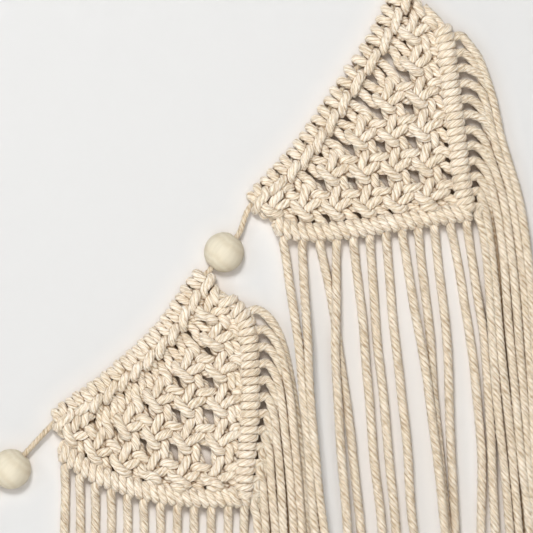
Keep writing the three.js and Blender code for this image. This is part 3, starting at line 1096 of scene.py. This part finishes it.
def settled(strands, loose, fixed):
    """Draws the strands snug until they press on each other but don't run through each other.

    Only the loose stretch of each strand moves. Each fixed line comes with its radius.
    """
    lines = strands + [line for line, _ in fixed]
    points = np.vstack(lines)
    owner = np.repeat(np.arange(len(lines)), [len(line) for line in lines])
    radii = [0.5 * SQUEEZE * CORD] * len(strands) + [radius for _, radius in fixed]
    radius = np.array(radii)[owner]
    stretches = [np.zeros(len(line), bool) for line in lines]
    for stretch, (first, last) in zip(stretches, loose):
        stretch[first + 1:last] = True
    free = np.concatenate(stretches)[:, None]
    inner = np.flatnonzero(free[:, 0])
    home = points.copy()
    near = math.ceil(OWN_REACH * SQUEEZE * CORD / NODE_STEP)
    for turn in range(SETTLE_ROUNDS):
        if turn % ROUNDS_A_SEARCH == 0:
            tree = KDTree(len(points))
            for index, point in enumerate(points):
                tree.insert(point, index)
            tree.balance()
            found = [
                (index, other)
                for index in inner
                for _, other, _ in tree.find_range(points[index], SEARCH_REACH * SQUEEZE * CORD)
                if (other > index or not free[other, 0])
                and (owner[index] != owner[other] or abs(index - other) > near)
            ]
            one, two = np.array(found).T
        points[inner] += SMOOTHING * ((points[inner - 1] + points[inner + 1]) / 2 - points[inner])
        points[inner] += HOMING * (home[inner] - points[inner])
        for _ in range(PUSHES_A_ROUND):
            apart = points[one] - points[two]
            far = np.maximum(np.linalg.norm(apart, axis=1), 1e-6)
            short = np.maximum(radius[one] + radius[two] - far, 0)
            push = apart * (PUSH_SHARE * short / far)[:, None]
            move = np.zeros_like(points)
            np.add.at(move, one, push)
            np.add.at(move, two, -push)
            points += move * free
    return [points[owner == index] for index in range(len(strands))]


def swollen(route, line, most):
    """How much thicker a cord is where it is bent hard round a line: most on it, then none."""
    off = [np.linalg.norm(line - point, axis=1).min() for point in route]
    return np.interp(off, (PLUMP_NEAR * CORD, PLUMP_FAR * CORD), (most, 1))


CORD_SIZES = {
    "Plies": float(CORD_PLIES),
    "Twist length": -CORD_TWIST,
    "Step": CORD_STEP,
    "Groove": 0.18,
    "Fuzz": 0.0009,
    "Finish": twisted_cotton("natural cotton cord", CORD_PALE, CORD_DARK, CORD_PLIES),
}
bars = {}
hitched = {}
for name, pennant in PENNANTS.items():
    heads = carrier_stretch(pennant["head"])
    for edge in EDGES:
        bars[name, edge] = smooth_route(in_plane(pennant[edge + "_bar"], BAR_DEPTH), NODE_STEP)
    own_bars = {edge: bars[name, edge] for edge in EDGES}
    ropes, cuts = [], []
    for head in range(LARKS_HEADS):
        left, left_cut = strand_path(pennant, heads, own_bars, 2 * head)
        right, right_cut = strand_path(pennant, heads, own_bars, 2 * head + 1)
        rope = smooth_route(np.vstack([left[:0:-1], right]), NODE_STEP)
        ropes.append(rope)
        cuts.append([np.linalg.norm(rope - cut, axis=1).argmin() for cut in (left_cut, right_cut)])
    fixed = [(evenly(heads, NODE_STEP), 0.5 * CARRIER_WIDTH)]
    fixed += [(line, BAR_HOLDER * CORD) for line in own_bars.values()]
    tight = settled(ropes, cuts, fixed)
    for head, (rope, (first, last)) in enumerate(zip(tight, cuts)):
        hitched[name, 2 * head] = rope[first::-1]
        hitched[name, 2 * head + 1] = rope[last:]
    routes = [
        smooth_route(rope[first:last + 1], CORD_STEP) for rope, (first, last) in zip(tight, cuts)
    ]
    net = lay_cord(
        f"pennant_{name}_net_cords",
        routes,
        [swollen(route, heads, HEAD_PLUMP) for route in routes],
        **CORD_SIZES,
        **{"Cord width": NET_PLUMP * CORD, "Sides": NET_SIDES},
    )
    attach(net, "root")
    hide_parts(f"pennant_{name}_net")

# Fringes
# Along the two lower edges every strand is hitched twice round a holding strand, which makes a firm
# ribbed bar. Its loose end then hangs as fringe and is cut level.
BAR_PLUMP = 1.06
HITCH_PLUMP = 1.35
STRAND_PLUMP = 1.1
FRINGE_SIDES = 15
# The hanging strands' cotton is the knots' cotton made darker: painted shade.
HANGING_SHADED_PALE = (0.8, 0.73, 0.625, 1)
HANGING_SHADED_DARK = (0.43, 0.335, 0.235, 1)
# How a strand hangs, with shares of its fall.
FRINGE_DROP = 0.1895
LIE_BACK = 0.0022
STAND_OFF = 0.004
FALL_SHARES = (0.44, 0.885)
FALL_START = 0.06
FALL_POINTS = 12
FORWARD_RATE = 3
BOTTOM_WANDER = 0.0005
SIDE_WANDER = 0.0004
WANDER_WAVES = (0.8, 1.6)
QUICK_SHARE = 0.4
STILL_SHARE = 0.25
# A side strand's way out of its bar, over a shoulder and down, as drops below its root.
SIDE_LAYER = 0.0023
SIDE_BACK_SHARE = 0.4
ROOT_FRONT_SHARE = 0.7
SIDE_OUT = 0.0028
SIDE_RISE = 0.0003
SHOULDER_DROP = 0.0034
SHOULDER_EDGE_DROP = 0.004
SHOULDER_INSET = 0.0012
SIDE_DROPS = (0.0105, 0.02, 0.032, 0.05, 0.08)
STRAIGHT_FROM = 0.11
STRAIGHT_POINTS = 6
GOES_BEHIND = (0.006, 0.026)
INSET_BELOW_TIP = (0.06, 0.17)
# Where the turns of a bar stop and the hanging cord starts, in points before the strand's root.
TURNS_STOP = 4
HANGING_START = 8
FRINGE_SEEDS = {"upper": 134, "lower": 125}


def edge_at(edge, z):
    """The x of a fringe's outer edge at this height."""
    heights, places = np.array(edge).T
    return np.interp(-z, -heights, places)


def wander(rng, count, size):
    """Slow sideways drift of a hanging strand."""
    phases = rng.uniform(0, 2 * math.pi, (2, 2))
    rate = rng.uniform(*WANDER_WAVES, (2, 2))
    along = np.linspace(0, 1, count)[:, None]
    slow = np.sin(2 * math.pi * along * rate[0] + phases[0])
    quick = QUICK_SHARE * np.sin(4 * math.pi * along * rate[1] + phases[1])
    return size * (slow + quick) * np.minimum(1, along / STILL_SHARE)


def bottom_strand(pennant, root, i, end_z, rng):
    """Hangs through its places nearly halfway and most of the way down, some of them in front."""
    middle, low, forward = pennant["bottom_falls"][i]
    down = np.linspace(FALL_START, 1, FALL_POINTS)
    share_middle, share_low = FALL_SHARES
    at_root = (down - share_middle) * (down - share_low) / (share_middle * share_low)
    at_middle = down * (down - share_low) / (share_middle * (share_middle - share_low))
    at_low = down * (down - share_middle) / (share_low * (share_low - share_middle))
    across = root[0] * at_root + middle * at_middle + low * at_low
    deep = LIE_BACK - STAND_OFF * down - forward * np.minimum(1, FORWARD_RATE * down)
    path = np.stack([across, deep, root[2] + (end_z - root[2]) * down], axis=1)
    path[:, :2] += wander(rng, FALL_POINTS, BOTTOM_WANDER)
    return path


def side_strand(pennant, root, i, end_z, rng):
    """Leaves the bar sideways in front and then hangs beside the others, some of them behind."""
    high, low, behind = pennant["side_falls"][i]
    front = SIDE_BACK_SHARE * LIE_BACK - SIDE_LAYER
    back = front + 2 * SIDE_LAYER * behind
    tip = pennant["field"]["tip"][1]
    edge = pennant["side_edge"]
    shoulder = edge_at(edge, root[2] - SHOULDER_EDGE_DROP) - high - SHOULDER_INSET
    path = [(root[0] + SIDE_OUT, ROOT_FRONT_SHARE * front, root[2] + SIDE_RISE)]
    path.append((shoulder, front, root[2] - SHOULDER_DROP))
    for fall in [*SIDE_DROPS, *np.linspace(STRAIGHT_FROM, root[2] - end_z, STRAIGHT_POINTS)]:
        z = root[2] - fall
        y = np.interp(fall, GOES_BEHIND, (front, back))
        inset = np.interp(tip - z, INSET_BELOW_TIP, (high, low))
        path.append((edge_at(edge, z) - inset, y, z))
    path = np.array(path)
    path[2:, :2] += wander(rng, len(path) - 2, SIDE_WANDER)
    return path


# The hanging strands take the darker copy of the cotton, as painted shade.
shaded_hanging_cotton = twisted_cotton("hanging cotton cord", HANGING_SHADED_PALE, HANGING_SHADED_DARK, CORD_PLIES)
for name, pennant in PENNANTS.items():
    rng = np.random.default_rng(FRINGE_SEEDS[name])
    end_z = pennant["field"]["tip"][1] - FRINGE_DROP
    for edge, hang in (("bottom", bottom_strand), ("side", side_strand)):
        rib, strands = [bars[name, edge]], []
        for strand in range(STRANDS):
            if bar_of(strand)[0] == edge:
                turns = hitched[name, strand]
                fall = hang(pennant, turns[-1], bar_of(strand)[1], end_z, rng)
                rib.append(smooth_route(turns[:-TURNS_STOP], CORD_STEP))
                strands.append(smooth_route(np.vstack([turns[-HANGING_START:], fall]), CORD_STEP))
        ribbed_bar = lay_cord(
            f"pennant_{name}_{edge}_bar_cords",
            rib,
            [swollen(route, bars[name, edge], HITCH_PLUMP) for route in rib],
            **CORD_SIZES,
            **{"Cord width": BAR_PLUMP * CORD, "Sides": FRINGE_SIDES},
        )
        hanging = lay_cord(
            f"pennant_{name}_{edge}_fringe_strands",
            strands,
            **{**CORD_SIZES, "Finish": shaded_hanging_cotton},
            **{"Cord width": STRAND_PLUMP * CORD, "Sides": FRINGE_SIDES},
        )
        for piece in (ribbed_bar, hanging):
            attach(piece, "root")
            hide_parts(f"pennant_{name}_{edge}_fringe")
